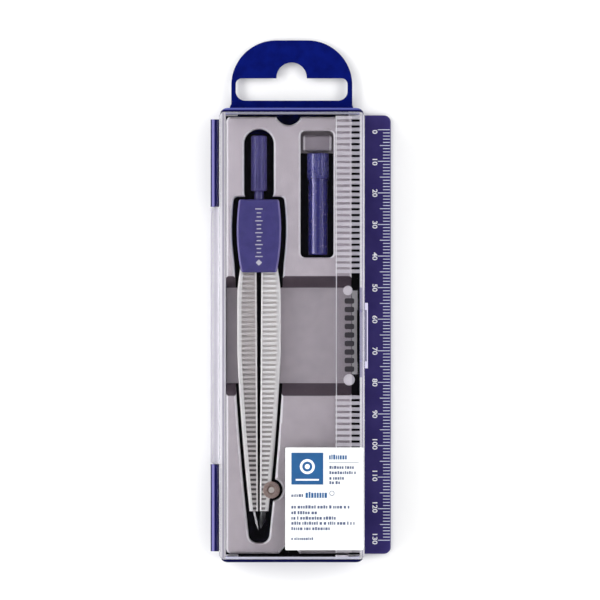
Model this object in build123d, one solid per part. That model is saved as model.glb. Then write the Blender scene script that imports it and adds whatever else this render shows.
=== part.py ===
# School compass set in a flat hinged plastic case, with a ruler edge and a hang tab.
# Millimetres. Z is up through the lid, Y runs towards the hang tab, X towards the ruler.
# The origin is the middle of the underside of the whole set.
from build123d import *
import os

os.makedirs("parts", exist_ok=True)

# Case body
CASE_X0 = -25.7
CASE_X1 = 20.1
CASE_Y0 = -82.4
CASE_Y1 = 60.7
CORNER_R = 2.7
LEFT_WALL_T = 2.1
RIGHT_WALL_T = 1.5
BASE_END_TOP_T = 1.2
BASE_END_LOW_T = 0.9
BASE_END_Z = 13.4
FLOOR_T = 1.2
PARTING_Z = 7.6
PARTING_GAP = 0.1
LID_TOP_Z = 14.9
LID_T = 1.3
LID_END_T = 0.75
LID_GAP = 0.1
LID_R = 1.7

LID_Y0 = CASE_Y0 + BASE_END_LOW_T + LID_GAP
LID_Y1 = CASE_Y1 - BASE_END_TOP_T - LID_GAP

# Ruler flange
FLANGE_X1 = 28.5
FLANGE_Y0 = -80.2
FLANGE_Y1 = 58.7
FLANGE_T = 1.6
FLANGE_R = 2.2

# Case hinge
HINGE_X = -27.0
KNUCKLE_R = 1.5
BASE_KNUCKLES = [(29.6, 57.2), (-79.1, -51.6)]
LID_KNUCKLE = (-51.2, 29.1)
STUB_R = 0.75
STUB_L = 2.0

# Lid latch tongue and grip ribs
TAB_Y0 = -21.3
TAB_Y1 = -0.7
TAB_X1 = 21.1
TAB_Z0 = 4.4
RIB_X0 = 10.9
RIB_X1 = 18.7
RIB_PITCH = 1.86
RIB_W = 1.15
RIB_H = 0.5
STUD_PITCH = 2.68

# Insert tray
INSERT_X0 = -23.5
INSERT_X1 = 16.0
INSERT_Y0 = -79.8
INSERT_Y1 = 58.0
INSERT_TOP_Z = 9.5
INSERT_Z0 = 1.25
INSERT_T = 1.1
WELL_FLOOR_Z = 4.2
WELL_TOP_Y = 7.6
WELL_Y1 = 4.1
WELL_Y0 = -26.1
WELL_BOTTOM_Y = -29.9

# Hang tab
HANG_X = -2.85
HANG_W = 38.3
HANG_TOP_Y = 82.4
HANG_FOOT_Y = 52.7
HANG_Z0 = 1.25
HANG_T = 1.0
HANG_TOP_R = 14.2

# Lead tube
TUBE_X = 5.4
TUBE_Z = 5.0
TUBE_R = 3.15
TUBE_BORE_R = 2.3
TUBE_Y0 = 14.4
TUBE_Y1 = 38.5
CAP_R = 3.45
CAP_Y1 = 46.6
SPIGOT_L = 3.5
LEAD_R = 0.95
SPARE_LEAD_L = 18.0

# Compass: its centreline lies along Y
COMPASS_X = -13.2
COMPASS_Z = 6.75
LEG_T = 5.0
HUB_T = 3.0
LEG_SHOULDER_Y = 12.0
LEG_TIP_Y = -66.4
LEG_HALF_W = 6.9
LEG_TIP_HALF_W = 3.0
LEG_GAP_TOP = 0.75
LEG_GAP_TIP = 0.25
PANEL_MARGIN = 1.4
BAR_PITCH = 1.51
BAR_GROOVE_W = 0.75
PIVOT_X = 2.6
PIVOT_Y = 17.0
PIN_R = 0.95
HEAD_Y1 = 31.9
HEAD_Y0 = 8.9
HEAD_HALF_T = 4.55
CAVITY_HALF_T = 2.7
YOKE_INNER = 1.75
YOKE_OUTER = 2.6
HANDLE_R = 2.55
HANDLE_Y0 = 34.6
HANDLE_Y1 = 52.1
NECK_R = 1.5
CLAMP_X = 3.95
CLAMP_Y = -59.7
NUT_R = 2.7
NEEDLE_R = 0.45
FIT = 0.05


def block(x0, x1, y0, y1, z0, z1):
    """Rectangular block between two opposite corners."""
    centre = Pos((x0 + x1) / 2, (y0 + y1) / 2, (z0 + z1) / 2)
    return centre * Box(x1 - x0, y1 - y0, z1 - z0)


def rounded_block(x0, x1, y0, y1, z0, z1, radius):
    """Block with rounded upright corners."""
    solid = block(x0, x1, y0, y1, z0, z1)
    return fillet(solid.edges().filter_by(Axis.Z), radius)


def prism(face, z0, z1):
    """Plan outline raised between two levels."""
    middle = Pos(0, 0, (z0 + z1) / 2) * face
    return extrude(middle, amount=(z1 - z0) / 2, both=True)


def rod_y(x, z, y0, y1, radius):
    """Round bar lying along Y."""
    return Pos(x, (y0 + y1) / 2, z) * Rot(90, 0, 0) * Cylinder(radius, y1 - y0)


def disc_z(x, y, z0, z1, radius):
    """Round bar standing along Z."""
    return Pos(x, y, (z0 + z1) / 2) * Cylinder(radius, z1 - z0)


def to_compass(solid):
    """Move a piece from the compass centreline to its place in the case."""
    return Pos(COMPASS_X, 0, COMPASS_Z) * solid


def hinge_relief(y0, y1, radius):
    """Room that a knuckle of the other half turns in."""
    return rod_y(HINGE_X, PARTING_Z, y0 - 0.2, y1 + 0.2, radius)


# ---------------------------------------------------------------- case base

def base_shell():
    """Tray with end walls taller than its sides and a ruler flange on the right."""
    tray = rounded_block(CASE_X0, CASE_X1, CASE_Y0, CASE_Y1, 0, BASE_END_Z, CORNER_R)
    tray = fillet(tray.faces().sort_by(Axis.Z)[0].edges(), 0.5)
    tray = fillet(tray.faces().sort_by(Axis.Z)[-1].edges(), 0.45)
    hollow = rounded_block(
        CASE_X0 + LEFT_WALL_T, CASE_X1 - RIGHT_WALL_T,
        CASE_Y0 + BASE_END_LOW_T, CASE_Y1 - BASE_END_TOP_T, FLOOR_T, 20, 1.2)
    hollow += rounded_block(
        CASE_X0 - 5, CASE_X1 + 5, CASE_Y0 + BASE_END_LOW_T, CASE_Y1 - BASE_END_TOP_T,
        PARTING_Z - PARTING_GAP / 2, 20, 1.0)
    flange = block(CASE_X1 - 1, FLANGE_X1, FLANGE_Y0, FLANGE_Y1, 0, FLANGE_T)
    flange = fillet(flange.edges().filter_by(Axis.Z).group_by(Axis.X)[-1], FLANGE_R)
    rim = flange.faces().sort_by(Axis.Z)[-1].edges()
    flange = fillet(rim.filter_by_position(Axis.X, CASE_X1 + 1, FLANGE_X1), 0.35)
    return tray - hollow + flange


def base_knuckles():
    """Two hinge knuckles with the webs that carry them and bores for the stubs."""
    solids = Part()
    for y0, y1 in BASE_KNUCKLES:
        solids += rod_y(HINGE_X, PARTING_Z, y0, y1, KNUCKLE_R)
        solids += block(HINGE_X, CASE_X0 + 0.5, y0, y1, 6.1, PARTING_Z - PARTING_GAP / 2)
    solids -= rod_y(HINGE_X, PARTING_Z, 20, 29.6 + STUB_L + 0.4, STUB_R + FIT)
    solids -= rod_y(HINGE_X, PARTING_Z, -51.6 - STUB_L - 0.4, -45, STUB_R + FIT)
    return solids


def tip_guard():
    """U-shaped rib on the floor round the needle and the lead tip."""
    x = COMPASS_X + 0.3
    y = -73.0
    outer = disc_z(x, y, 0.6, 8.0, 3.0) + block(x - 3.0, x + 3.0, y, -70.6, 0.6, 8.0)
    inner = disc_z(x, y, 0.5, 8.5, 2.35) + block(x - 2.35, x + 2.35, y, -70.0, 0.5, 8.5)
    return outer - inner


def cradle_ribs():
    """Low ribs on the floor that carry the handle and the lead tube."""
    handle = block(COMPASS_X - 2.2, COMPASS_X + 2.2, 42.5, 44.0, 0.6, 4.15)
    tube = Part()
    for y in (20.0, 33.0):
        tube += block(TUBE_X - 2.0, TUBE_X + 2.0, y, y + 1.5, 0.6, TUBE_Z - TUBE_R - 0.05)
    return handle + tube


def hang_slot():
    """Opening in the end wall for the foot of the hang tab and its three stops."""
    x0 = HANG_X - HANG_W / 2 - 0.15
    x1 = HANG_X + HANG_W / 2 + 0.15
    slot = block(x0, x1, CASE_Y1 - 2, CASE_Y1 + 1, FLOOR_T, HANG_Z0 + HANG_T + 0.1)
    for x in (-20.5, -2.9, 14.6):
        slot += disc_z(x, CASE_Y1 + 0.1, FLOOR_T, HANG_Z0 + HANG_T + 0.45, 2.1)
    return slot


def make_base():
    """Opaque lower half of the case."""
    base = base_shell() - hinge_relief(*LID_KNUCKLE, KNUCKLE_R + 0.15)
    base += base_knuckles()
    base += tip_guard() + cradle_ribs()
    return base - hang_slot()


# ---------------------------------------------------------------- lid

def lid_shell():
    """Clear cover with thin walls, open towards the base."""
    bottom = PARTING_Z + PARTING_GAP / 2
    lid = rounded_block(CASE_X0, CASE_X1, LID_Y0, LID_Y1, bottom, LID_TOP_Z, LID_R)
    lid = fillet(lid.faces().sort_by(Axis.Z)[-1].edges(), 0.3)
    hollow = rounded_block(
        CASE_X0 + LEFT_WALL_T, CASE_X1 - RIGHT_WALL_T,
        LID_Y0 + LID_END_T, LID_Y1 - LID_END_T,
        bottom - 1, LID_TOP_Z - LID_T, LID_R - 0.9)
    return lid - hollow


def lid_knuckle():
    """Long hinge knuckle with a web to the lid wall and a stub at each end."""
    y0, y1 = LID_KNUCKLE
    solid = rod_y(HINGE_X, PARTING_Z, y0, y1, KNUCKLE_R)
    solid += block(HINGE_X, CASE_X0 + 0.5, y0, y1, PARTING_Z + PARTING_GAP / 2, 9.1)
    solid += rod_y(HINGE_X, PARTING_Z, y1 - 1, y1 + STUB_L, STUB_R)
    solid += rod_y(HINGE_X, PARTING_Z, y0 - STUB_L, y0 + 1, STUB_R)
    return solid


def grip_ribs():
    """Cross ribs under the lid top in two runs, above and below the latch."""
    z0 = LID_TOP_Z - LID_T - RIB_H
    z1 = LID_TOP_Z - LID_T + 0.2
    ribs = []
    for first, count in ((57.6, 27), (-30.4, 28)):
        for number in range(count):
            y = first - number * RIB_PITCH
            ribs.append(block(RIB_X0, RIB_X1, y - RIB_W / 2, y + RIB_W / 2, z0, z1))
    return ribs


def strip_border():
    """Long thin rib along the inner side of the ribbed strip."""
    z0 = LID_TOP_Z - LID_T - RIB_H
    return block(11.05, 11.35, -79.4, 57.4, z0, LID_TOP_Z - LID_T + 0.2)


def latch_studs():
    """Row of nine grip studs beside the latch, with a round boss at each end."""
    z0 = LID_TOP_Z - LID_T - RIB_H
    z1 = LID_TOP_Z - LID_T + 0.2
    studs = []
    for number in range(9):
        y = -0.1 - number * STUD_PITCH
        studs.append(rounded_block(13.8, 16.8, y - 0.85, y + 0.85, z0, z1, 0.5))
    studs.append(disc_z(14.8, 3.2, z0, z1, 1.5))
    studs.append(disc_z(15.2, -24.9, z0, z1, 1.8))
    return studs


def latch_tongue():
    """Outer finger tab hanging past the parting line beside the base wall."""
    tab = block(CASE_X1 - 0.3, TAB_X1, TAB_Y0, TAB_Y1, PARTING_Z + 0.4, LID_TOP_Z - 0.6)
    tab += block(CASE_X1 + 0.15, TAB_X1, TAB_Y0, TAB_Y1, TAB_Z0, PARTING_Z + 1)
    return fillet(tab.edges().filter_by(Axis.X).group_by(Axis.Z)[0], 1.2)


def latch_slot():
    """Narrow slot with hooked ends that frees the latch tongue."""
    slot = block(17.7, 18.4, -19.3, -2.9, 12, 16)
    slot += block(17.7, 19.3, -3.6, -2.9, 12, 16)
    slot += block(17.7, 19.3, -19.3, -18.6, 12, 16)
    return slot


def corner_blocks():
    """Small blocks inside the four corners that hold the insert down."""
    z0 = 9.6
    z1 = LID_TOP_Z - LID_T + 0.2
    blocks = [
        block(-24.2, -19.9, 58.15, LID_Y1 - 0.4, z0, z1),
        block(15.1, 18.9, 58.15, LID_Y1 - 0.4, z0, z1),
        block(-24.2, -19.7, LID_Y0 + 0.4, -79.95, z0, z1),
        block(14.8, 18.9, LID_Y0 + 0.4, -79.95, z0, z1),
    ]
    return blocks


def make_lid():
    """Clear upper half of the case."""
    lid = lid_shell()
    for y0, y1 in BASE_KNUCKLES:
        lid -= hinge_relief(y0, y1, KNUCKLE_R + 0.15)
    lid += lid_knuckle()
    lid += grip_ribs()
    lid += strip_border()
    lid += latch_studs()
    lid += corner_blocks()
    lid += latch_tongue()
    return lid - latch_slot()


def make_label():
    """Paper sticker on the lid."""
    return rounded_block(-4.9, 19.75, -78.5, -46.2, LID_TOP_Z, LID_TOP_Z + 0.1, 0.4)


# ---------------------------------------------------------------- insert

def insert_section(drop, inset):
    """Side view of the insert along Y, lowered by drop and shortened by inset."""
    top = INSERT_TOP_Z - drop
    low = WELL_FLOOR_Z - drop
    outline = Polyline(
        (INSERT_Y0 + inset, 0), (INSERT_Y0 + inset, top), (WELL_BOTTOM_Y, top),
        (WELL_Y0, low), (WELL_Y1, low), (WELL_TOP_Y, top),
        (INSERT_Y1 - inset, top), (INSERT_Y1 - inset, 0), close=True)
    return make_face(Plane.YZ * outline)


def insert_block(drop, inset):
    """Solid envelope of the insert with the low finger well across it."""
    width = INSERT_X1 - INSERT_X0 - 2 * inset
    middle = (INSERT_X0 + INSERT_X1) / 2
    return extrude(Pos(middle, 0, 0) * insert_section(drop, inset), amount=width / 2, both=True)


def head_recess():
    """Plan of the opening round the compass handle and head."""
    right = [
        Line((0, 32.8), (7.9, 32.8)),
        ThreePointArc((7.9, 32.8), (8.5, 24.5), (7.8, 12.2)),
        Line((7.8, 12.2), (7.4, WELL_Y1)),
        Line((7.4, WELL_Y1), (0, WELL_Y1)),
    ]
    half = make_face(right + [Line((0, WELL_Y1), (0, 32.8))])
    pocket = half + mirror(half, Plane.YZ)
    pocket = fillet(pocket.vertices().group_by(Axis.Y)[-1], 1.4)
    slot = Pos(0, 42.0) * RectangleRounded(9.4, 24.2, 4.65)
    return Pos(COMPASS_X, 0) * (pocket + slot)


def leg_recess():
    """Plan of the tapering opening round the lower legs and the clamp nut."""
    edges = [
        Line((-7.4, WELL_Y0), (7.4, WELL_Y0)),
        ThreePointArc((7.4, WELL_Y0), (5.75, -48.7), (3.0, -76.5)),
        Line((3.0, -76.5), (-3.0, -76.5)),
        ThreePointArc((-3.0, -76.5), (-5.75, -48.7), (-7.4, WELL_Y0)),
    ]
    taper = make_face(edges)
    taper = fillet(taper.vertices().group_by(Axis.Y)[0], 2.6)
    bulge = Pos(CLAMP_X, CLAMP_Y) * Circle(3.5)
    return Pos(COMPASS_X, 0) * (taper + bulge)


def tube_recess():
    """Plan of the opening round the lead tube."""
    return Pos(5.12, 33.55) * RectangleRounded(10.4, 39.9, 1.5)


def leg_slot():
    """Plan of the slot under the gap between the legs, across the finger well."""
    middle = (WELL_Y0 + WELL_Y1) / 2
    return Pos(COMPASS_X, middle) * Rectangle(3.6, WELL_Y1 - WELL_Y0 + 2)


def recess_openings():
    """All the through openings of the insert in plan."""
    return [head_recess(), leg_recess(), tube_recess(), leg_slot()]


def low_notch(margin):
    """Plan of the tapered bite in the lower edge of the insert, grown by a margin."""
    outline = Polyline(
        (-7.1, INSERT_Y0 - 1), (-6.9, INSERT_Y0), (-5.0, -77.6),
        (-2.2, -77.6), (-0.3, INSERT_Y0), (-0.1, INSERT_Y0 - 1), close=True)
    face = make_face(outline)
    if margin > 0:
        face = offset(face, margin)
    return face


def thumb_notches(margin=0):
    """Bites in the top and bottom edges of the insert, grown by a margin."""
    top = disc_z(-3.85, 59.6, -1, 12, 4.2 + margin)
    return top + prism(low_notch(margin), -1, 12)


def tube_plinth():
    """Raised end stop in the tube opening, carried by a low ledge."""
    ledge = block(-1.0, 11.0, 46.6, 54.4, 2.5, 3.4)
    post = block(0.66, 9.75, 47.3, 52.2, 2.5, 7.2)
    post = fillet(post.edges().filter_by(Axis.Z) + post.faces().sort_by(Axis.Z)[-1].edges(), 0.9)
    return ledge + post


def insert_solid():
    """Envelope of the insert with its openings and softened upper edges."""
    outer = insert_block(0, 0)
    outer = fillet(outer.edges().filter_by(Axis.Z), 1.5)
    for opening in recess_openings():
        outer -= prism(opening, -1, 12)
    outer -= thumb_notches()
    edges = ShapeList()
    for face in outer.faces().filter_by(Axis.Z).group_by(Axis.Z)[-1]:
        edges += face.edges()
    return fillet(edges, 0.8)


def insert_hollow():
    """Room under the insert, leaving a wall round every opening."""
    hollow = insert_block(INSERT_T, INSERT_T)
    for opening in recess_openings():
        hollow -= prism(offset(opening, INSERT_T), -1, 12)
    return hollow - thumb_notches(INSERT_T)


def make_insert():
    """Matt tray that holds the compass and the lead tube."""
    shell = insert_solid() - insert_hollow()
    shell += tube_plinth()
    shell -= block(-22.4, 17, 52.4, 59, 0, HANG_Z0 + HANG_T + 0.1)
    return shell - block(-30, 30, -90, 90, -1, INSERT_Z0)


# ---------------------------------------------------------------- hang tab

def make_hang_tab():
    """Flat hanger with a rounded top, a hanging slot and three round stops."""
    middle = (HANG_TOP_Y + HANG_FOOT_Y) / 2
    plate = Pos(HANG_X, middle) * Rectangle(HANG_W, HANG_TOP_Y - HANG_FOOT_Y)
    plate = fillet(plate.vertices().group_by(Axis.Y)[-1], HANG_TOP_R)
    slot = Pos(-2.9, 66.85) * Rectangle(35.4, 7.1)
    slot = fillet(slot.vertices().group_by(Axis.Y)[0], 3.0)
    slot = fillet(slot.vertices().group_by(Axis.Y)[-1], 1.9)
    slot += Pos(-2.9, 70.6) * Circle(4.8)
    solid = prism(plate - slot, HANG_Z0, HANG_Z0 + HANG_T)
    for x in (-20.5, -2.9, 14.6):
        solid += disc_z(x, CASE_Y1 + 0.1, HANG_Z0 + 0.5, HANG_Z0 + HANG_T + 0.35, 2.0)
    return solid


# ---------------------------------------------------------------- lead tube

def flutes(x, z, y0, y1, radius, count, depth):
    """Straight grooves spaced round a bar that lies along Y."""
    grooves = []
    for number in range(count):
        spin = Pos(x, 0, z) * Rot(0, number * 360 / count, 0)
        grooves.append(spin * rod_y(radius, 0, y0, y1, depth))
    return grooves


def make_tube():
    """Lead tube closed at its lower end, with a collar under the cap."""
    body = rod_y(TUBE_X, TUBE_Z, TUBE_Y0, TUBE_Y1, TUBE_R)
    body = fillet(body.edges().group_by(Axis.Y)[0], 0.5)
    body += rod_y(TUBE_X, TUBE_Z, TUBE_Y1 - 0.6, TUBE_Y1, TUBE_R + 0.2)
    return body - rod_y(TUBE_X, TUBE_Z, TUBE_Y0 + 1.0, TUBE_Y1 + 1, TUBE_BORE_R)


def make_cap():
    """Fluted cap with a spigot that fits the tube bore."""
    cap = rod_y(TUBE_X, TUBE_Z, TUBE_Y1 + 0.1, CAP_Y1, CAP_R)
    cap = fillet(cap.edges().group_by(Axis.Y)[-1], 0.5)
    cap -= flutes(TUBE_X, TUBE_Z, TUBE_Y1 + 0.9, CAP_Y1 + 1, CAP_R + 0.1, 20, 0.32)
    spigot = rod_y(TUBE_X, TUBE_Z, TUBE_Y1 - SPIGOT_L, TUBE_Y1 + 1, TUBE_BORE_R - FIT)
    return cap + spigot


def make_spare_leads():
    """Three spare leads lying in the tube."""
    leads = []
    y0 = TUBE_Y0 + 1.2
    for number in range(3):
        spin = Pos(TUBE_X, 0, TUBE_Z) * Rot(0, 30 + number * 120, 0)
        leads.append(spin * rod_y(1.2, 0, y0, y0 + SPARE_LEAD_L, LEAD_R))
    return Compound([lead.solid() for lead in leads])


# ---------------------------------------------------------------- compass legs

def leg_plan():
    """Plan of one leg from its shoulder to its tip, right-hand side."""
    edges = [
        Line((LEG_GAP_TOP, LEG_SHOULDER_Y), (5.7, LEG_SHOULDER_Y)),
        Line((5.7, LEG_SHOULDER_Y), (6.2, 8.5)),
        ThreePointArc((6.2, 8.5), (6.72, 4.4), (LEG_HALF_W, 0)),
        Line((LEG_HALF_W, 0), (LEG_HALF_W, -17)),
        ThreePointArc((LEG_HALF_W, -17), (5.35, -41.7), (LEG_TIP_HALF_W, LEG_TIP_Y)),
        Line((LEG_TIP_HALF_W, LEG_TIP_Y), (LEG_GAP_TIP, LEG_TIP_Y)),
        Line((LEG_GAP_TIP, LEG_TIP_Y), (LEG_GAP_TOP, LEG_SHOULDER_Y)),
    ]
    return make_face(edges)


def panel_plan():
    """Plan of the sunk ladder panel of one leg."""
    top = 10.0
    bottom = LEG_TIP_Y - 1
    outer = LEG_HALF_W - PANEL_MARGIN
    edges = [
        Line((1.3, top), (4.9, top)),
        Line((4.9, top), (5.3, 4.4)),
        Line((5.3, 4.4), (outer, 0)),
        Line((outer, 0), (outer, -17)),
        ThreePointArc((outer, -17), (3.95, -41.7), (1.75, bottom)),
        Line((1.75, bottom), (0.8, bottom)),
        Line((0.8, bottom), (1.3, top)),
    ]
    return make_face(edges)


def ladder_cut():
    """Sloping panel floor with a row of cross grooves, on the upper face."""
    face_z = LEG_T / 2
    panel = prism(panel_plan(), face_z - 1.5, face_z + 0.5)
    slope = Pos(5.6, -28, face_z - 0.05) * Rot(0, -9, 0) * Box(
        14, 90, 3, align=(Align.MAX, Align.CENTER, Align.MIN))
    grooves = Part()
    y = 8.4
    while y > LEG_TIP_Y + 0.4:
        grooves += block(0, 7, y - BAR_GROOVE_W / 2, y + BAR_GROOVE_W / 2, face_z - 1.5, face_z + 1)
        y -= BAR_PITCH
    return panel & (slope + grooves)


def gear_hub(angles):
    """Round hub of a leg with the gear teeth at the given angles."""
    hub = disc_z(PIVOT_X, PIVOT_Y, -HUB_T / 2, HUB_T / 2, 2.1)
    for angle in angles:
        spin = Pos(PIVOT_X, PIVOT_Y, 0) * Rot(0, 0, angle)
        hub += spin * block(1.5, 2.95, -0.22, 0.22, -HUB_T / 2, HUB_T / 2)
    hub += block(0.8, 5.0, LEG_SHOULDER_Y - 0.5, PIVOT_Y, -HUB_T / 2, HUB_T / 2)
    return hub - disc_z(PIVOT_X, PIVOT_Y, -3, 3, PIN_R + FIT)


def plain_leg(angles):
    """One leg with its hub and both ladder panels, right-hand side."""
    leg = prism(leg_plan(), -LEG_T / 2, LEG_T / 2)
    rims = leg.faces().filter_by(Axis.Z)
    edges = rims[0].edges() + rims[1].edges()
    leg = fillet(edges.filter_by_position(Axis.Y, LEG_TIP_Y + 1, LEG_SHOULDER_Y - 1), 0.45)
    cut = ladder_cut()
    leg -= cut
    leg -= mirror(cut, Plane.XY)
    return leg + gear_hub(angles)


def slanted_rod(x, y, lean, y_from, y_to, radius):
    """Bar through (x, y) leaning by lean degrees, between two distances along it."""
    return Pos(x, y, 0) * Rot(0, 0, lean) * rod_y(0, 0, y_from, y_to, radius)


def make_left_leg():
    """Leg that carries the needle."""
    leg = mirror(plain_leg((120, 150, 180, 210, 240)), Plane.YZ)
    leg -= slanted_rod(-1.54, -66.7, 12.9, 0, 4.3, NEEDLE_R + 0.02)
    leg -= slanted_rod(-1.54, -66.7, 12.9, -1.5, 0.5, NEEDLE_R + 0.02)
    return leg


def make_right_leg():
    """Leg that clamps the lead between two jaws drawn together by a screw."""
    leg = plain_leg((135, 165, 195, 225))
    ear = disc_z(CLAMP_X, CLAMP_Y, -LEG_T / 2, LEG_T / 2, 1.9)
    leg += ear
    leg -= disc_z(CLAMP_X, CLAMP_Y, -4, 4, 0.9 + FIT)
    leg -= slanted_rod(1.4, -66.4, -9.4, -2, 5.3, LEAD_R + FIT)
    return leg - block(0, 8, -70, -57.3, -0.2, 0.2)


def make_needle():
    """Steel needle with a sharp point."""
    shank = rod_y(0, 0, -3.9, 4.0, NEEDLE_R)
    point = Pos(0, -4.9, 0) * Rot(90, 0, 0) * Cone(NEEDLE_R, 0.05, 2.0)
    return Pos(-1.54, -66.7, 0) * Rot(0, 0, 12.9) * (shank + point)


def make_lead():
    """Lead sharpened to a blunt cone."""
    shank = rod_y(0, 0, -3.2, 5.0, LEAD_R)
    point = Pos(0, -4.4, 0) * Rot(90, 0, 0) * Cone(LEAD_R, 0.2, 2.4)
    return Pos(1.4, -66.4, 0) * Rot(0, 0, -9.4) * (shank + point)


def make_clamp_screw():
    """Cheese-head screw that passes up through the two jaws and the nut."""
    screw = disc_z(CLAMP_X, CLAMP_Y, -3.0, 3.75, 0.9)
    head = disc_z(CLAMP_X, CLAMP_Y, -3.6, -2.6, 1.8)
    head -= block(CLAMP_X - 3, CLAMP_X + 3, CLAMP_Y - 0.3, CLAMP_Y + 0.3, -4, -3.2)
    screw += head
    return screw - disc_z(CLAMP_X, CLAMP_Y, 3.5, 4, 0.45)


def make_clamp_nut():
    """Round clamp nut with a dished face and a knurled rim."""
    nut = disc_z(CLAMP_X, CLAMP_Y, 2.6, 3.95, NUT_R)
    nut = fillet(nut.edges(), 0.25)
    dish = Pos(CLAMP_X, CLAMP_Y, 3.75) * Cone(1.0, 1.5, 0.45)
    nut -= dish
    notches = []
    for number in range(24):
        spin = Pos(CLAMP_X, CLAMP_Y, 0) * Rot(0, 0, number * 15)
        notches.append(spin * disc_z(NUT_R + 0.08, 0, 2, 5, 0.18))
    nut -= notches
    return nut - disc_z(CLAMP_X, CLAMP_Y, 2, 5, 0.9 + FIT)


# ---------------------------------------------------------------- compass head

def head_plan():
    """Barrel-shaped plan of the head covers."""
    edges = [
        Line((-6.3, HEAD_Y1), (6.3, HEAD_Y1)),
        ThreePointArc((6.3, HEAD_Y1), (6.98, 22.5), (5.6, HEAD_Y0)),
        Line((5.6, HEAD_Y0), (-5.6, HEAD_Y0)),
        ThreePointArc((-5.6, HEAD_Y0), (-6.98, 22.5), (-6.3, HEAD_Y1)),
    ]
    return fillet(make_face(edges).vertices(), 0.8)


def front_cover():
    """Front half of the head, open at the bottom and the lower sides."""
    cover = prism(head_plan(), 0.03, HEAD_HALF_T)
    cover = fillet(cover.faces().sort_by(Axis.Z)[-1].edges(), 0.7)
    cavity = prism(offset(head_plan(), -1.2), -1, CAVITY_HALF_T)
    cover -= cavity
    cover -= block(-10, 10, HEAD_Y0 - 1, 19.0, -1, CAVITY_HALF_T)
    return cover - rod_y(0, 0, 29, 34, NECK_R + 0.1)


def make_yoke():
    """Bent metal bracket that holds both pivots and the handle stem."""
    yoke = rounded_block(-5.2, 5.2, 13.2, 27.0, -YOKE_OUTER, YOKE_OUTER, 1.2)
    yoke -= block(-6, 6, 12, 24.6, -YOKE_INNER, YOKE_INNER)
    yoke -= rod_y(0, 0, 24, 28, 1.2 + FIT)
    for side in (-1, 1):
        yoke -= disc_z(side * PIVOT_X, PIVOT_Y, -4, 4, PIN_R + FIT)
    return yoke


def make_pins():
    """Two pivot pins, one for each leg."""
    left = disc_z(-PIVOT_X, PIVOT_Y, -2.65, 2.65, PIN_R)
    right = disc_z(PIVOT_X, PIVOT_Y, -2.65, 2.65, PIN_R)
    return Compound([left.solid(), right.solid()])


def make_washers():
    """Four thin friction washers, above and below each hub."""
    washers = []
    for side in (-1, 1):
        for z in (-1.7, 1.55):
            ring = disc_z(side * PIVOT_X, PIVOT_Y, z, z + 0.15, 2.0)
            ring -= disc_z(side * PIVOT_X, PIVOT_Y, -3, 3, PIN_R + FIT)
            washers.append(ring.solid())
    return Compound(washers)


def make_handle():
    """Fluted grip with a plain neck and a stem for the yoke."""
    grip = rod_y(0, 0, HANDLE_Y0, HANDLE_Y1, HANDLE_R)
    grip = fillet(grip.edges().group_by(Axis.Y)[-1], 0.7)
    grip = fillet(grip.edges().group_by(Axis.Y)[0], 0.3)
    grip -= flutes(0, 0, HANDLE_Y0 + 0.8, HANDLE_Y1 + 1, HANDLE_R + 0.15, 14, 0.42)
    neck = rod_y(0, 0, 30.0, HANDLE_Y0 + 1, NECK_R)
    stem = rod_y(0, 0, 24.7, 31.0, 1.2)
    return grip + neck + stem


# ---------------------------------------------------------------- export

def save(name, solid):
    """Write one piece to its file."""
    export_step(solid, "parts/" + name + ".step")


front = front_cover()
save("base_tray", make_base())
save("lid", make_lid())
save("label", make_label())
save("insert_tray", make_insert())
save("hang_tab", make_hang_tab())
save("lead_tube", make_tube())
save("lead_tube_cap", make_cap())
save("spare_leads", make_spare_leads())
save("leg_left", to_compass(make_left_leg()))
save("leg_right", to_compass(make_right_leg()))
save("needle", to_compass(make_needle()))
save("lead", to_compass(make_lead()))
save("clamp_screw", to_compass(make_clamp_screw()))
save("clamp_nut", to_compass(make_clamp_nut()))
save("head_front_cover", to_compass(front))
save("head_rear_cover", to_compass(mirror(front, Plane.XY)))
save("yoke", to_compass(make_yoke()))
save("pivot_pins", to_compass(make_pins()))
save("friction_washers", to_compass(make_washers()))
save("handle", to_compass(make_handle()))
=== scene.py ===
import math
import random

import bpy
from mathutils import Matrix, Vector


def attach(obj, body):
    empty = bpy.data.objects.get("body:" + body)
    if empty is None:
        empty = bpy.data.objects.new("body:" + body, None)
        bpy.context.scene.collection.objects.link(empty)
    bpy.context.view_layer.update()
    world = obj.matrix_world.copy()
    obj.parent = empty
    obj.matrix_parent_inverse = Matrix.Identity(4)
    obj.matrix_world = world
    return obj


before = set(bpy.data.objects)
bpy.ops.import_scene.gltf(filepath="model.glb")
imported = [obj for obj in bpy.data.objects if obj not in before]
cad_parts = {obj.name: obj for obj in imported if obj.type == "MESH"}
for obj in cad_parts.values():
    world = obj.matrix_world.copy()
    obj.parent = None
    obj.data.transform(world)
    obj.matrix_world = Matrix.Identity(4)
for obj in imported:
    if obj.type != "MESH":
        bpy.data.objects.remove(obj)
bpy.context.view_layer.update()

MM = 0.001
rng = random.Random(7)

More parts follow.
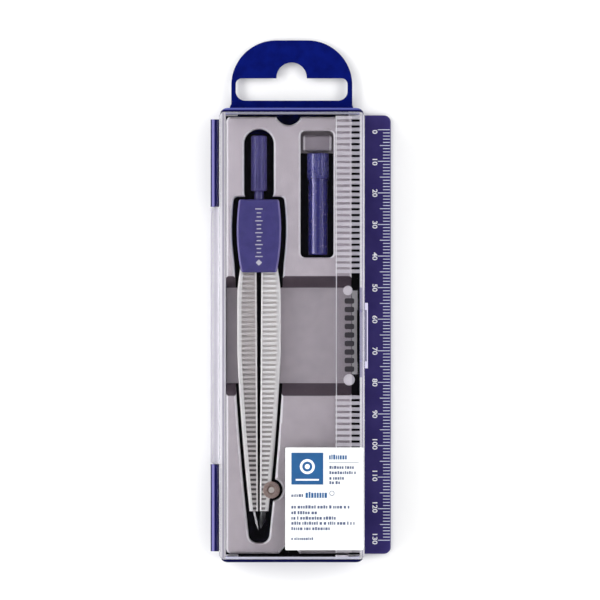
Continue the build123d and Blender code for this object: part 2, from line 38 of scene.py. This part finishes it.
# Plan boxes (x0, x1, y0, y1), bands (low, high) and single levels, in millimetres
LID_WALLS_INSIDE = (-23.7, 18.5, -80.6, 58.6)
LID_RIM_INSIDE = (-23.6, 18.6, -80.6, 58.6)
LID_FOOT_WALL = (-24.0, 18.6, -81.15, -80.65)
CASE_INSIDE = (-23.5, 18.5, -81.4, 59.4)
STUDS = (13.0, 17.5, -22.7, 1.2)
LATCH_ZONE = (16.2, 17.65, -23.0, 3.0)
TAB_CORE = (20.32, 20.70, -19.1, -2.9)
BLOCK_HOLLOWS = [
    (-23.95, -20.15, 58.4, 58.8), (15.35, 18.65, 58.4, 58.8),
    (-23.95, -19.95, -80.85, -80.2), (15.05, 18.65, -80.85, -80.2)]
BLOCK_UNDER_Z = (9.55, 9.65)
RIB_FACE_Z = (13.05, 13.15)
LID_UNDER_Z = (13.55, 13.65)
TAB_TOP_Z = (14.15, 14.35)
LID_TOP_Z = (14.5, 15.0)
WALL_END_X = 20.12
RIB_EDGE_HIGHLIGHT_X = (11.0, 11.36)
HEAD_X = -13.2
FLANGE_Z = 1.6
LABEL_Z = 15.0


# ---------------------------------------------------------------- materials

def new_material(name):
    """Empty node material with a Principled shader wired to its output."""
    mat = bpy.data.materials.new(name)
    mat.use_nodes = True
    tree = mat.node_tree
    tree.nodes.clear()
    out = tree.nodes.new("ShaderNodeOutputMaterial")
    shader = tree.nodes.new("ShaderNodeBsdfPrincipled")
    tree.links.new(shader.outputs["BSDF"], out.inputs["Surface"])
    return mat, tree, shader


def coords(tree):
    return tree.nodes.new("ShaderNodeTexCoord").outputs["Object"]


def noise(tree, scale, detail=3.0, roughness=0.55, stretch=None):
    """Noise in object space; stretch squeezes it along the axes."""
    node = tree.nodes.new("ShaderNodeTexNoise")
    node.inputs["Scale"].default_value = scale
    node.inputs["Detail"].default_value = detail
    node.inputs["Roughness"].default_value = roughness
    source = coords(tree)
    if stretch:
        mapping = tree.nodes.new("ShaderNodeMapping")
        mapping.inputs["Scale"].default_value = stretch
        tree.links.new(source, mapping.inputs["Vector"])
        source = mapping.outputs["Vector"]
    tree.links.new(source, node.inputs["Vector"])
    return node.outputs["Fac"]


def ramp(tree, fac, stops):
    """Colour ramp from (position, colour) stops."""
    node = tree.nodes.new("ShaderNodeValToRGB")
    elements = node.color_ramp.elements
    while len(elements) < len(stops):
        elements.new(0.5)
    for element, (pos, col) in zip(elements, stops):
        element.position = pos
        element.color = (*col, 1.0)
    tree.links.new(fac, node.inputs["Fac"])
    return node.outputs["Color"]


def map_range(tree, fac, low, high, start=0.3, end=0.7):
    node = tree.nodes.new("ShaderNodeMapRange")
    node.inputs["From Min"].default_value = start
    node.inputs["From Max"].default_value = end
    node.inputs["To Min"].default_value = low
    node.inputs["To Max"].default_value = high
    tree.links.new(fac, node.inputs["Value"])
    return node.outputs["Result"]


def axis(tree, letter, space="Object"):
    """One component of the position, or of the surface normal, in the frame."""
    split = tree.nodes.new("ShaderNodeSeparateXYZ")
    source = tree.nodes.new("ShaderNodeTexCoord").outputs[space]
    tree.links.new(source, split.inputs["Vector"])
    return split.outputs[letter]


def math_node(tree, operation, a, b):
    """Math node on two values, each a socket or a number."""
    node = tree.nodes.new("ShaderNodeMath")
    node.operation = operation
    for slot, value in enumerate((a, b)):
        if isinstance(value, (int, float)):
            node.inputs[slot].default_value = value
        else:
            tree.links.new(value, node.inputs[slot])
    return node.outputs["Value"]


def rise(tree, value, start, end):
    """0 up to start and 1 from end on, in millimetres."""
    return map_range(tree, value, 0.0, 1.0, start * MM, end * MM)


def fall(tree, value, start, end):
    """1 up to start and 0 from end on, in millimetres."""
    return map_range(tree, value, 1.0, 0.0, start * MM, end * MM)


def between(tree, value, low, high, soft):
    """1 between two levels in millimetres, falling to 0 over soft on both sides."""
    return product(tree, rise(tree, value, low - soft, low), fall(tree, value, high, high + soft))


def combine(tree, operation, values):
    """Chain of one math operation over several values."""
    value = values[0]
    for other in values[1:]:
        value = math_node(tree, operation, value, other)
    return value


def product(tree, *masks):
    return combine(tree, "MULTIPLY", masks)


def total(tree, *masks):
    return combine(tree, "ADD", masks)


def strongest(tree, *masks):
    return combine(tree, "MAXIMUM", masks)


def outside(tree, mask):
    """The opposite of a mask."""
    return math_node(tree, "SUBTRACT", 1.0, mask)


def inside(tree, x0, x1, y0, y1, soft=0.05):
    """1 inside a rectangle in plan, in millimetres."""
    across = between(tree, axis(tree, "X"), x0, x1, soft)
    along = between(tree, axis(tree, "Y"), y0, y1, soft)
    return product(tree, across, along)


def tilt(tree, letter):
    """How far the surface faces along one axis, either way."""
    return math_node(tree, "ABSOLUTE", axis(tree, letter, "Normal"), 0.0)


def mix(tree, fac, a, b):
    """Colour a turning into colour b; each is a socket or a plain colour."""
    node = tree.nodes.new("ShaderNodeMix")
    node.data_type = "RGBA"
    tree.links.new(fac, node.inputs[0])
    for slot, value in ((6, a), (7, b)):
        if isinstance(value, tuple):
            node.inputs[slot].default_value = (*value, 1.0)
        else:
            tree.links.new(value, node.inputs[slot])
    return node.outputs[2]


def bump(tree, shader, fac, strength, distance):
    node = tree.nodes.new("ShaderNodeBump")
    node.inputs["Strength"].default_value = strength
    node.inputs["Distance"].default_value = distance
    tree.links.new(fac, node.inputs["Height"])
    tree.links.new(node.outputs["Normal"], shader.inputs["Normal"])


def plastic(name, dark, light, rough, scale=900.0, bump_strength=0.1, bump_mm=0.02,
            specular=0.5, coat=0.0, tint=(1.0, 1.0, 1.0)):
    """Moulded plastic: slight colour drift, uneven gloss and a fine skin."""
    mat, tree, shader = new_material(name)
    drift = noise(tree, scale * 0.12, 4.0)
    tree.links.new(ramp(tree, drift, [(0.3, dark), (0.7, light)]), shader.inputs["Base Color"])
    fine = noise(tree, scale, 4.0)
    tree.links.new(map_range(tree, fine, rough * 0.85, rough * 1.2), shader.inputs["Roughness"])
    bump(tree, shader, fine, bump_strength, bump_mm * MM)
    shader.inputs["Specular IOR Level"].default_value = specular
    shader.inputs["Coat Weight"].default_value = coat
    shader.inputs["Specular Tint"].default_value = (*tint, 1.0)
    return mat


def metal(name, dark, light, rough, scale, stretch=None, bump_strength=0.08, metallic=1.0):
    """Satin or brushed metal with fine streaks."""
    mat, tree, shader = new_material(name)
    streak = noise(tree, scale, 5.0, 0.6, stretch)
    tree.links.new(ramp(tree, streak, [(0.3, dark), (0.7, light)]), shader.inputs["Base Color"])
    tree.links.new(map_range(tree, streak, rough * 0.8, rough * 1.2), shader.inputs["Roughness"])
    shader.inputs["Metallic"].default_value = metallic
    bump(tree, shader, streak, bump_strength, 0.01 * MM)
    return mat


def case_plastic(name):
    """Violet plastic with painted shade and painted highlights: darker above the flange, near
    black inside and on the foot rim, with highlights painted on the top end rim and the hinge
    barrel.
    """
    mat, tree, shader = new_material(name)
    fine = noise(tree, 900.0, 4.0)
    drift = noise(tree, 110.0, 4.0)
    flange = ramp(tree, drift, [(0.3, (0.028, 0.021, 0.108)), (0.7, (0.041, 0.032, 0.144))])
    height = axis(tree, "Z")
    # Painted shade: the case goes darker above the flange.
    painted_shade_above_flange = rise(tree, height, 1.9, 3.0)
    colour = mix(tree, painted_shade_above_flange, flange, (0.005, 0.004, 0.056))
    # Painted highlight along the outer top edge of the top end wall.
    rim_painted_highlight = product(tree, rise(tree, height, 12.9, 13.0), rise(tree, axis(tree, "Y"), 60.05, 60.2))
    colour = mix(tree, rim_painted_highlight, colour, (0.075, 0.09, 0.33))
    # Painted shade: the top of the foot end wall is darkened to near black.
    foot = product(tree, rise(tree, height, 12.7, 12.9), fall(tree, axis(tree, "Y"), -81.5, -81.3))
    colour = mix(tree, foot, colour, (0.001, 0.002, 0.045))
    # Painted highlight along the hinge barrel.
    barrel_painted_highlight = product(tree, between(tree, axis(tree, "X"), -27.95, -27.30, 0.12),
                     between(tree, height, 8.5, 9.2, 0.1))
    colour = mix(tree, barrel_painted_highlight, colour, (0.13, 0.12, 0.32))
    # Painted shade: the case floor and everything inside below the insert goes near black.
    floor = product(tree, between(tree, height, 0.9, 8.2, 0.05), inside(tree, *CASE_INSIDE))
    colour = mix(tree, floor, colour, (0.004, 0.003, 0.008))
    tree.links.new(colour, shader.inputs["Base Color"])
    tree.links.new(map_range(tree, fine, 0.19, 0.27), shader.inputs["Roughness"])
    shader.inputs["Coat Weight"].default_value = 0.1
    shader.inputs["Specular IOR Level"].default_value = 0.22
    shader.inputs["Specular Tint"].default_value = (0.7, 0.68, 1.0, 1.0)
    bump(tree, shader, fine, 0.04, 0.01 * MM)
    return mat


def leg_finish(name, bars_painted_lighting, high, low):
    """Satin metal with pale borders; the bar colour is painted light on one leg and painted shade
    on the other, and painted shade in the grooves deepens from high to low along the leg.
    """
    mat, tree, shader = new_material(name)
    streak = noise(tree, 1500.0, 5.0, 0.6, (1.0, 0.2, 1.0))
    border = ramp(tree, streak, [(0.3, (0.86, 0.845, 0.835)), (0.7, (0.94, 0.925, 0.91))])
    tip_shade_fade = rise(tree, axis(tree, "Y"), -12, -55)
    height = axis(tree, "Z")
    sunk = between(tree, height, 4.35, 9.15, 0.04)
    # The bar colour is a lit copy on one leg and a shaded copy on the other: painted light and
    # painted shade.
    colour = mix(tree, sunk, border, bars_painted_lighting)
    # Painted shade in the grooves, deeper towards the tip.
    groove_painted_shade = total(tree, between(tree, height, 5.69, 5.81, 0.06),
                   between(tree, height, 7.69, 7.81, 0.06))
    colour = mix(tree, groove_painted_shade, colour, mix(tree, tip_shade_fade, high, low))
    tree.links.new(colour, shader.inputs["Base Color"])
    tree.links.new(map_range(tree, streak, 0.36, 0.48), shader.inputs["Roughness"])
    shader.inputs["Metallic"].default_value = 0.4
    bump(tree, shader, streak, 0.03, 0.01 * MM)
    return mat


def wall_tint(tree):
    """Painted light: pale and violet bands along the walls of the lid stand in for the light and
    the violet case seen through them, with painted shade over the latch and the end walls darker
    towards the top end.
    """
    pale = (0.96, 0.94, 1.0)
    grey = (0.66, 0.63, 0.70)
    violet = (0.26, 0.21, 0.38)
    left = rise(tree, axis(tree, "X"), -25.7, -23.5)
    left = ramp(tree, left, [
        (0.0, pale), (0.42, pale), (0.47, violet), (0.60, violet), (0.66, grey), (1.0, grey)])
    right = rise(tree, axis(tree, "X"), 18.5, 20.1)
    latch_painted_shade = between(tree, axis(tree, "Y"), -24.0, 4.0, 0.3)
    inner = mix(tree, latch_painted_shade, pale, (0.40, 0.36, 0.66))
    black = (0, 0, 0)
    white = (1, 1, 1)
    pick = ramp(tree, right, [(0.0, black), (0.50, black), (0.56, white), (1.0, white)])
    # Painted shade: a violet line over the dark gap beside the right wall.
    gap = between(tree, axis(tree, "X"), 19.32, 19.46, 0.06)
    right = mix(tree, gap, mix(tree, pick, inner, (0.90, 0.88, 1.0)), violet)
    side = rise(tree, axis(tree, "X"), -2, 2)
    walls = mix(tree, side, left, right)
    middle = inside(tree, *LID_WALLS_INSIDE, 0.03)
    ends = product(tree, between(tree, axis(tree, "X"), *LID_WALLS_INSIDE[:2], 0.05),
                   outside(tree, middle))
    # Painted light on the end walls, paler towards the foot.
    foot = fall(tree, axis(tree, "Y"), -70, 50)
    band = mix(tree, foot, (0.24, 0.24, 0.62), (0.66, 0.66, 1.0))
    return mix(tree, ends, walls, band)


def block_rims(tree, height):
    """Painted highlights outlining the under faces of the four corner blocks."""
    level = between(tree, height, *BLOCK_UNDER_Z, 0.03)
    hollows = total(tree, *[inside(tree, *box, 0.02) for box in BLOCK_HOLLOWS])
    return product(tree, level, outside(tree, hollows))


def tab_rims(tree, height):
    """Painted highlights on the outer edge and ends of the latch tab."""
    level = between(tree, height, *TAB_TOP_Z, 0.03)
    tab = rise(tree, axis(tree, "X"), WALL_END_X, 20.18)
    return product(tree, level, tab, outside(tree, inside(tree, *TAB_CORE, 0.05)))


def block_fill(tree, height):
    """Painted light over the whole under faces of the four corner blocks."""
    return product(tree, between(tree, height, *BLOCK_UNDER_Z, 0.03), 0.45)


def foot_rim(tree, height):
    """Painted light on the top face over the wall at the foot of the lid."""
    level = between(tree, height, *LID_TOP_Z, 0.05)
    return product(tree, level, inside(tree, *LID_FOOT_WALL, 0.12), 0.42)


def top_rims(tree, height):
    """Painted light on the top face over the four walls of the lid."""
    level = between(tree, height, *LID_TOP_Z, 0.05)
    wall = fall(tree, axis(tree, "X"), WALL_END_X, 20.16)
    middle = inside(tree, *LID_RIM_INSIDE, 0.03)
    return product(tree, level, wall, outside(tree, middle), 0.20)


def clear_plastic(name):
    """Clear polystyrene with painted light: pale hazy patches on its walls, its lower faces, the
    ribs, the rims, the tab and the blocks stand in for the light they pick up; painted shade over
    the latch and in the rib valleys.
    """
    mat, tree, shader = new_material(name)
    flow = noise(tree, 60.0, 3.0, 0.5, (1.0, 0.3, 1.0))
    clear = ramp(tree, flow, [(0.3, (0.965, 0.965, 0.985)), (0.7, (0.985, 0.985, 1.0))])
    height = axis(tree, "Z")
    # Painted light: haze on the lower faces of the lid below the parting line.
    seam = product(tree, between(tree, height, 0.0, 7.72, 0.03),
                   fall(tree, axis(tree, "X"), WALL_END_X, 20.16))
    crest = between(tree, height, *RIB_FACE_Z, 0.03)
    studs = product(tree, crest, inside(tree, *STUDS))
    under = between(tree, height, *LID_UNDER_Z, 0.03)
    # Painted shade in the rib valleys and over the latch.
    valley_painted_shade = product(tree, under, between(tree, axis(tree, "X"), 11.4, 16.2, 0.05))
    latch_painted_shade = product(tree, under, inside(tree, *LATCH_ZONE, 0.4))
    block_highlights = block_rims(tree, height)
    block_light_fills = block_fill(tree, height)
    tab = tab_rims(tree, height)
    # All the painted light gathered into one haze mask that pales, roughens and clouds the lid.
    painted_light_haze = strongest(tree, seam, crest, block_highlights, tab, product(tree, latch_painted_shade, 0.6),
                     top_rims(tree, height), foot_rim(tree, height), block_light_fills)
    # Painted light on the rib crests, darker where they lie over the gap.
    rib_painted_light = mix(tree, rise(tree, axis(tree, "X"), 16.0, 16.2),
               (0.72, 0.68, 0.74), (0.50, 0.48, 0.54))
    # Painted highlight: a pale line along one edge of the rib strip.
    border = between(tree, axis(tree, "X"), *RIB_EDGE_HIGHLIGHT_X, 0.02)
    rib_painted_light = mix(tree, border, rib_painted_light, (0.95, 0.94, 0.97))
    rib_painted_light = mix(tree, studs, rib_painted_light, (0.03, 0.024, 0.034))
    tint = mix(tree, crest, wall_tint(tree), rib_painted_light)
    tint = mix(tree, block_light_fills, tint, (0.70, 0.67, 0.78))
    tint = mix(tree, tab, tint, (0.62, 0.59, 0.78))
    tint = mix(tree, block_highlights, tint, (0.94, 0.92, 0.98))
    tint = mix(tree, latch_painted_shade, tint, (0.10, 0.08, 0.10))
    clear = mix(tree, valley_painted_shade, clear, (0.66, 0.64, 0.68))
    tree.links.new(mix(tree, painted_light_haze, clear, tint), shader.inputs["Base Color"])
    tree.links.new(map_range(tree, painted_light_haze, 0.012, 0.5, 0.0, 1.0), shader.inputs["Roughness"])
    tree.links.new(
        map_range(tree, painted_light_haze, 1.0, 0.04, 0.0, 1.0), shader.inputs["Transmission Weight"])
    shader.inputs["IOR"].default_value = 1.46
    bump(tree, shader, flow, 0.01, 0.05 * MM)
    return mat


def insert_plastic(name):
    """Matt grey sheet plastic with painted highlights on its rounded side edges, painted shade on
    the slopes, the low floors and the deep step, and darker towards the foot.
    """
    mat, tree, shader = new_material(name)
    fine = noise(tree, 1800.0, 4.0)
    drift = noise(tree, 220.0, 4.0)
    top = ramp(tree, drift, [(0.3, (0.60, 0.54, 0.585)), (0.7, (0.67, 0.605, 0.65))])
    low = ramp(tree, drift, [(0.3, (0.515, 0.462, 0.50)), (0.7, (0.575, 0.518, 0.555))])
    floor = ramp(tree, drift, [(0.3, (0.45, 0.405, 0.44)), (0.7, (0.51, 0.46, 0.495))])
    height = axis(tree, "Z")
    along = axis(tree, "Y")
    top = mix(tree, fall(tree, along, -29, 9), top, low)
    # Painted shade: the low floors are darker than the top.
    colour = mix(tree, rise(tree, height, 8.0, 8.4), floor, top)
    # Painted shade on surfaces at the depth of the step in the tube pocket.
    post_painted_shade = between(tree, height, 6.0, 7.4, 0.3)
    colour = mix(tree, post_painted_shade, colour, (0.34, 0.30, 0.34))
    lean = tilt(tree, "Y")
    banks = total(tree, between(tree, along, 3.9, 8.4, 0.1),
                  between(tree, along, -30.7, -25.9, 0.1))
    # Painted shade on the slopes of the finger well.
    slope_painted_shade = product(tree, banks, map_range(tree, lean, 0.0, 1.0, 0.25, 0.5),
                    map_range(tree, lean, 1.0, 0.0, 0.90, 0.96))
    colour = mix(tree, slope_painted_shade, colour, (0.105, 0.078, 0.098))
    # Painted highlight on the rounded edges that face the sides.
    rounded = total(tree, between(tree, height, 8.75, 9.46, 0.03),
                    between(tree, height, 6.35, 7.17, 0.03))
    edge_painted_highlight = product(tree, rounded, map_range(tree, tilt(tree, "X"), 0.0, 1.0, 0.12, 0.35))
    colour = mix(tree, edge_painted_highlight, colour, (0.93, 0.90, 0.93))
    tree.links.new(colour, shader.inputs["Base Color"])
    tree.links.new(map_range(tree, fine, 0.44, 0.62), shader.inputs["Roughness"])
    shader.inputs["Specular IOR Level"].default_value = 0.35
    bump(tree, shader, fine, 0.22, 0.03 * MM)
    return mat


def head_plastic(name):
    """Violet plastic with painted highlights along its long edges."""
    mat = plastic(name, (0.052, 0.043, 0.215), (0.072, 0.060, 0.275), 0.36, 2200, 0.2, 0.02)
    tree = mat.node_tree
    socket = tree.nodes["Principled BSDF"].inputs["Base Color"]
    plain = socket.links[0].from_socket
    # Painted highlight on the long rounded edges.
    edge_painted_highlight = product(tree, between(tree, axis(tree, "Z"), 10.62, 11.4, 0.05),
                   map_range(tree, tilt(tree, "X"), 0.0, 1.0, 0.15, 0.45))
    tree.links.new(mix(tree, edge_painted_highlight, plain, (0.21, 0.18, 0.44)), socket)
    return mat


# Name: the values of plastic(), in its order
PLASTICS = {
    "hang_blue": ((0.0005, 0.003, 0.080), (0.0012, 0.006, 0.125), 0.6, 2600, 0.5, 0.05, 0.03),
    "tube_blue": ((0.020, 0.020, 0.165), (0.028, 0.027, 0.205), 0.24, 900, 0.01, 0.01,
                  1.0, 0.5, (0.66, 0.62, 1.0)),
    "cap_blue": ((0.036, 0.037, 0.215), (0.050, 0.050, 0.27), 0.28, 900, 0.01, 0.01,
                 0.9, 0.4, (0.70, 0.66, 1.0)),
    "compass_blue": ((0.048, 0.040, 0.19), (0.066, 0.054, 0.24), 0.36, 2200, 0.2, 0.02),
    "label_paper": ((0.74, 0.76, 0.76), (0.79, 0.81, 0.81), 0.45, 1500, 0.05, 0.01),
    "graphite": ((0.015, 0.015, 0.017), (0.05, 0.05, 0.055), 0.3, 3000, 0.2, 0.01, 0.6),
    "ink_white": ((0.84, 0.85, 0.90), (0.93, 0.93, 0.96), 0.5, 3000, 0.1, 0.005),
    "ink_blue": ((0.0, 0.065, 0.20), (0.0, 0.085, 0.25), 0.5, 1500, 0.05, 0.005),
    "ink_pale": ((0.52, 0.54, 0.70), (0.60, 0.62, 0.78), 0.5, 3000, 0.1, 0.005),
    "ink_grey": ((0.045, 0.065, 0.14), (0.08, 0.10, 0.19), 0.5, 3000, 0.1, 0.005),
    "ink_silver": ((0.60, 0.60, 0.66), (0.72, 0.72, 0.78), 0.4, 3000, 0.1, 0.005),
}

# Name: the values of leg_finish(), in its order; the two legs are a shaded and a lit copy of one
# finish, painted shade and painted light
LEGS = {
    "leg_painted_shade": ((0.66, 0.62, 0.615), (0.85, 0.80, 0.79), (0.14, 0.13, 0.13)),
    "leg_painted_light": ((0.95, 0.93, 0.92), (0.88, 0.84, 0.83), (0.45, 0.42, 0.42)),
}

M = {name: plastic(name, *values) for name, values in PLASTICS.items()}
M.update({name: leg_finish(name, *values) for name, values in LEGS.items()})
M["case_blue"] = case_plastic("case_blue")
M["insert_grey"] = insert_plastic("insert_grey")
M["head_blue"] = head_plastic("head_blue")
M["lid_clear"] = clear_plastic("lid_clear")
M["steel"] = metal("steel", (0.55, 0.55, 0.55), (0.68, 0.68, 0.68), 0.18, 2500, (1.0, 0.1, 1.0))
M["nickel"] = metal(
    "nickel", (0.34, 0.245, 0.22), (0.49, 0.375, 0.34), 0.4, 1800, metallic=0.6)
M["screw_end"] = metal(
    "screw_end", (0.72, 0.66, 0.62), (0.85, 0.80, 0.76), 0.4, 1800, metallic=0.4)

NODE_MATERIAL = {
    "base_tray": "case_blue", "lid": "lid_clear", "label": "label_paper",
    "insert_tray": "insert_grey", "hang_tab": "hang_blue", "lead_tube": "tube_blue",
    "lead_tube_cap": "cap_blue", "spare_leads": "graphite", "leg_left": "leg_painted_shade",
    "leg_right": "leg_painted_light", "needle": "steel", "lead": "graphite", "clamp_screw": "screw_end",
    "clamp_nut": "nickel", "head_front_cover": "head_blue",
    "head_rear_cover": "compass_blue", "yoke": "steel", "pivot_pins": "steel",
    "friction_washers": "steel", "handle": "compass_blue",
}

for node, material in NODE_MATERIAL.items():
    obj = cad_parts[node]
    obj.data.materials.clear()
    obj.data.materials.append(M[material])


# ---------------------------------------------------------------- printed marks

def flat_mesh(name, polygons, z, thick, material):
    """One mesh of thin raised patches; polygons are lists of (x, y) in millimetres."""
    verts = []
    faces = []
    for poly in polygons:
        n = len(poly)
        base = len(verts)
        verts += [(x * MM, y * MM, z * MM) for x, y in poly]
        verts += [(x * MM, y * MM, (z + thick) * MM) for x, y in poly]
        faces.append([base + n + i for i in range(n)])
        faces.append([base + n - 1 - i for i in range(n)])
        for i in range(n):
            j = (i + 1) % n
            faces.append([base + i, base + j, base + n + j, base + n + i])
    mesh = bpy.data.meshes.new(name)
    mesh.from_pydata(verts, [], faces)
    mesh.materials.append(M[material])
    obj = bpy.data.objects.new(name, mesh)
    bpy.context.scene.collection.objects.link(obj)
    return obj


def rect(x0, x1, y0, y1):
    return [(x0, y0), (x1, y0), (x1, y1), (x0, y1)]


def ring_wedges(cx, cy, inner, outer, count):
    """A ring as a row of quads."""
    polys = []
    for i in range(count):
        a = 2 * math.pi * i / count
        b = 2 * math.pi * (i + 1) / count
        polys.append([
            (cx + inner * math.cos(a), cy + inner * math.sin(a)),
            (cx + outer * math.cos(a), cy + outer * math.sin(a)),
            (cx + outer * math.cos(b), cy + outer * math.sin(b)),
            (cx + inner * math.cos(b), cy + inner * math.sin(b))])
    return polys


def ruler_ticks():
    """Millimetre scale along the outer edge of the flange."""
    polys = []
    for mm in range(131):
        y = 54.12 - mm
        if mm % 10 == 0:
            x0 = 24.35
        elif mm % 5 == 0:
            x0 = 25.05
        else:
            x0 = 26.05
        polys.append(rect(x0, 28.22, y - 0.13, y + 0.13))
    return flat_mesh("ruler_ticks", polys, FLANGE_Z, 0.02, "ink_pale")


def ruler_numeral(value):
    """One number of the scale, its top pointing to the right."""
    curve = bpy.data.curves.new("numeral_%d" % value, "FONT")
    curve.body = str(value)
    curve.size = 2.15 * MM
    curve.align_x = "RIGHT"
    curve.offset = 0.03 * MM
    curve.extrude = 0.01 * MM
    obj = bpy.data.objects.new("numeral_%d" % value, curve)
    bpy.context.scene.collection.objects.link(obj)
    obj.rotation_euler = (0, 0, -math.pi / 2)
    obj.scale = (1.18, 1.0, 1.0)
    obj.location = (22.74 * MM, (52.8 - value) * MM, (FLANGE_Z + 0.012) * MM)
    bpy.context.view_layer.update()
    graph = bpy.context.evaluated_depsgraph_get()
    mesh = bpy.data.meshes.new_from_object(obj.evaluated_get(graph))
    mesh.transform(obj.matrix_world)
    bpy.data.objects.remove(obj)
    return mesh


def ruler_numerals():
    """All fourteen numbers joined into one piece."""
    parts = []
    for value in range(0, 131, 10):
        mesh = ruler_numeral(value)
        part = bpy.data.objects.new("part_%d" % value, mesh)
        bpy.context.scene.collection.objects.link(part)
        parts.append(part)
    bpy.ops.object.select_all(action="DESELECT")
    for part in parts:
        part.select_set(True)
    bpy.context.view_layer.objects.active = parts[0]
    bpy.ops.object.join()
    joined = parts[0]
    joined.name = "ruler_numerals"
    joined.data.materials.clear()
    joined.data.materials.append(M["ink_white"])
    return joined


def word_marks(x0, x1, y, height):
    """A line of small uneven dashes that reads as greeked text."""
    polys = []
    x = x0
    while x < x1 - 0.3:
        width = rng.uniform(0.35, 0.8) * min(1.0, height)
        end = min(x + width, x1)
        lift = rng.choice((0.0, 0.0, 0.15)) * height
        polys.append(rect(x, end, y - height / 2, y + height / 2 - 0.15 * height + lift))
        x = end + (0.22 if rng.random() < 0.8 else 0.55) * min(1.0, height)
    return polys


def label_print():
    """Generic print of the sticker: a blue square with a plain figure and greeked lines."""
    square = [rect(-2.97, 7.07, -57.87, -47.83)]
    figure = ring_wedges(2.05, -52.2, 1.6, 2.35, 24)
    figure += ring_wedges(2.05, -52.2, 0.01, 0.8, 16)
    figure += [rect(-1.6, 5.7, -56.6, -56.1)]
    bold = word_marks(8.9, 14.6, -49.2, 1.5)
    bold += word_marks(1.5, 8.7, -61.1, 1.9)
    lines = [rect(8.9, 18.2, -51.02, -50.88)]
    for x1, y in ((16.7, -52.45), (17.4, -54.1), (14.0, -55.85), (12.7, -57.25)):
        lines += word_marks(9.0, x1, y, 0.95)
    lines += word_marks(-2.97, 0.7, -61.3, 0.9)
    for x1, y in ((15.3, -64.9), (5.5, -66.7), (11.2, -68.4), (16.9, -70.0), (9.4, -71.7)):
        lines += word_marks(-2.97, x1, y, 1.0)
    lines += word_marks(-2.97, 4.5, -74.9, 0.85)
    lines += ring_wedges(9.8, -60.6, 0.62, 0.8, 20)
    return [
        flat_mesh("label_square", square, LABEL_Z - 0.005, 0.012, "ink_blue"),
        flat_mesh("label_figure", figure, LABEL_Z + 0.006, 0.012, "ink_white"),
        flat_mesh("label_heading", bold, LABEL_Z - 0.004, 0.012, "ink_blue"),
        flat_mesh("label_lines", lines, LABEL_Z - 0.004, 0.012, "ink_grey")]


def head_marks():
    """Silver graduation printed down the front of the compass head."""
    polys = []
    for number in range(13):
        y = 28.9 - number * 1.25
        half = 1.15 if number % 3 == 0 else 0.7
        polys.append(rect(HEAD_X - half, HEAD_X + half, y - 0.17, y + 0.17))
    polys.append([(HEAD_X, 11.0), (HEAD_X + 1, 12.0), (HEAD_X, 13.0), (HEAD_X - 1, 12.0)])
    return flat_mesh("head_marks", polys, 11.295, 0.015, "ink_silver")


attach(ruler_ticks(), "case")
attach(ruler_numerals(), "case")
for piece in label_print():
    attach(piece, "lid_body")
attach(head_marks(), "compass_head")


# ---------------------------------------------------------------- studio

def pale_floor():
    """Large plain floor under the object."""
    bpy.ops.mesh.primitive_plane_add(size=6.0, location=(0, 0, -0.0002))
    floor = bpy.context.object
    floor.name = "studio_floor"
    mat, tree, shader = new_material("floor_white")
    drift = noise(tree, 2.0)
    white = [(0.3, (0.90, 0.90, 0.90)), (0.7, (0.92, 0.92, 0.92))]
    tree.links.new(ramp(tree, drift, white), shader.inputs["Base Color"])
    shader.inputs["Roughness"].default_value = 0.9
    shader.inputs["Specular IOR Level"].default_value = 0.0
    floor.data.materials.append(mat)


def soft_world():
    """Soft light all round, dark overhead, weaker on the ruler side and towards the ends."""
    world = bpy.data.worlds.new("studio")
    bpy.context.scene.world = world
    world.use_nodes = True
    tree = world.node_tree
    tree.nodes.clear()
    out = tree.nodes.new("ShaderNodeOutputWorld")
    background = tree.nodes.new("ShaderNodeBackground")
    source = tree.nodes.new("ShaderNodeTexCoord").outputs["Generated"]
    split = tree.nodes.new("ShaderNodeSeparateXYZ")
    tree.links.new(source, split.inputs["Vector"])
    dome = ramp(tree, split.outputs["Z"], [
        (0.0, (0.95, 0.95, 0.95)), (0.55, (1.0, 1.0, 1.0)), (0.84, (0.95, 0.95, 0.95)),
        (0.94, (0.55, 0.55, 0.56)), (0.985, (0.16, 0.16, 0.17)), (0.996, (0.02, 0.02, 0.02))])
    side = map_range(tree, split.outputs["X"], 1.15, 0.8, -0.4, 0.4)
    away = math_node(tree, "ABSOLUTE", split.outputs["Y"], 0.0)
    ends = map_range(tree, away, 1.0, 0.5, 0.25, 0.85)
    glow = product(tree, side, ends, 1.5)
    tree.links.new(dome, background.inputs["Color"])
    tree.links.new(glow, background.inputs["Strength"])
    tree.links.new(background.outputs["Background"], out.inputs["Surface"])


def soft_strip(name, location, width, power):
    """Long area light parallel to the case, aimed at its middle."""
    data = bpy.data.lights.new(name, "AREA")
    data.shape = "RECTANGLE"
    data.size = 1.3
    data.size_y = width
    data.energy = power
    light = bpy.data.objects.new(name, data)
    bpy.context.scene.collection.objects.link(light)
    light.location = location
    aim = Vector((0, location[1], 0)) - Vector(location)
    light.rotation_euler = aim.to_track_quat("-Z", "Y").to_euler()


def camera():
    """Long lens straight above the lid; without a rotation it looks down."""
    data = bpy.data.cameras.new("photo_camera")
    data.sensor_width = 36.0
    distance = 2.0
    data.lens = 36.0 * distance / 0.1894
    data.clip_start = 0.05
    cam = bpy.data.objects.new("photo_camera", data)
    bpy.context.scene.collection.objects.link(cam)
    cam.location = (-0.00025, 0.0002, distance + 0.008)
    bpy.context.scene.camera = cam


pale_floor()
soft_world()
soft_strip("strip_left", (-1.0, 0.1, 0.65), 0.36, 9.0)
soft_strip("strip_right", (1.0, 0.1, 0.65), 0.36, 6.5)
camera()
bpy.context.scene.view_settings.view_transform = "Standard"
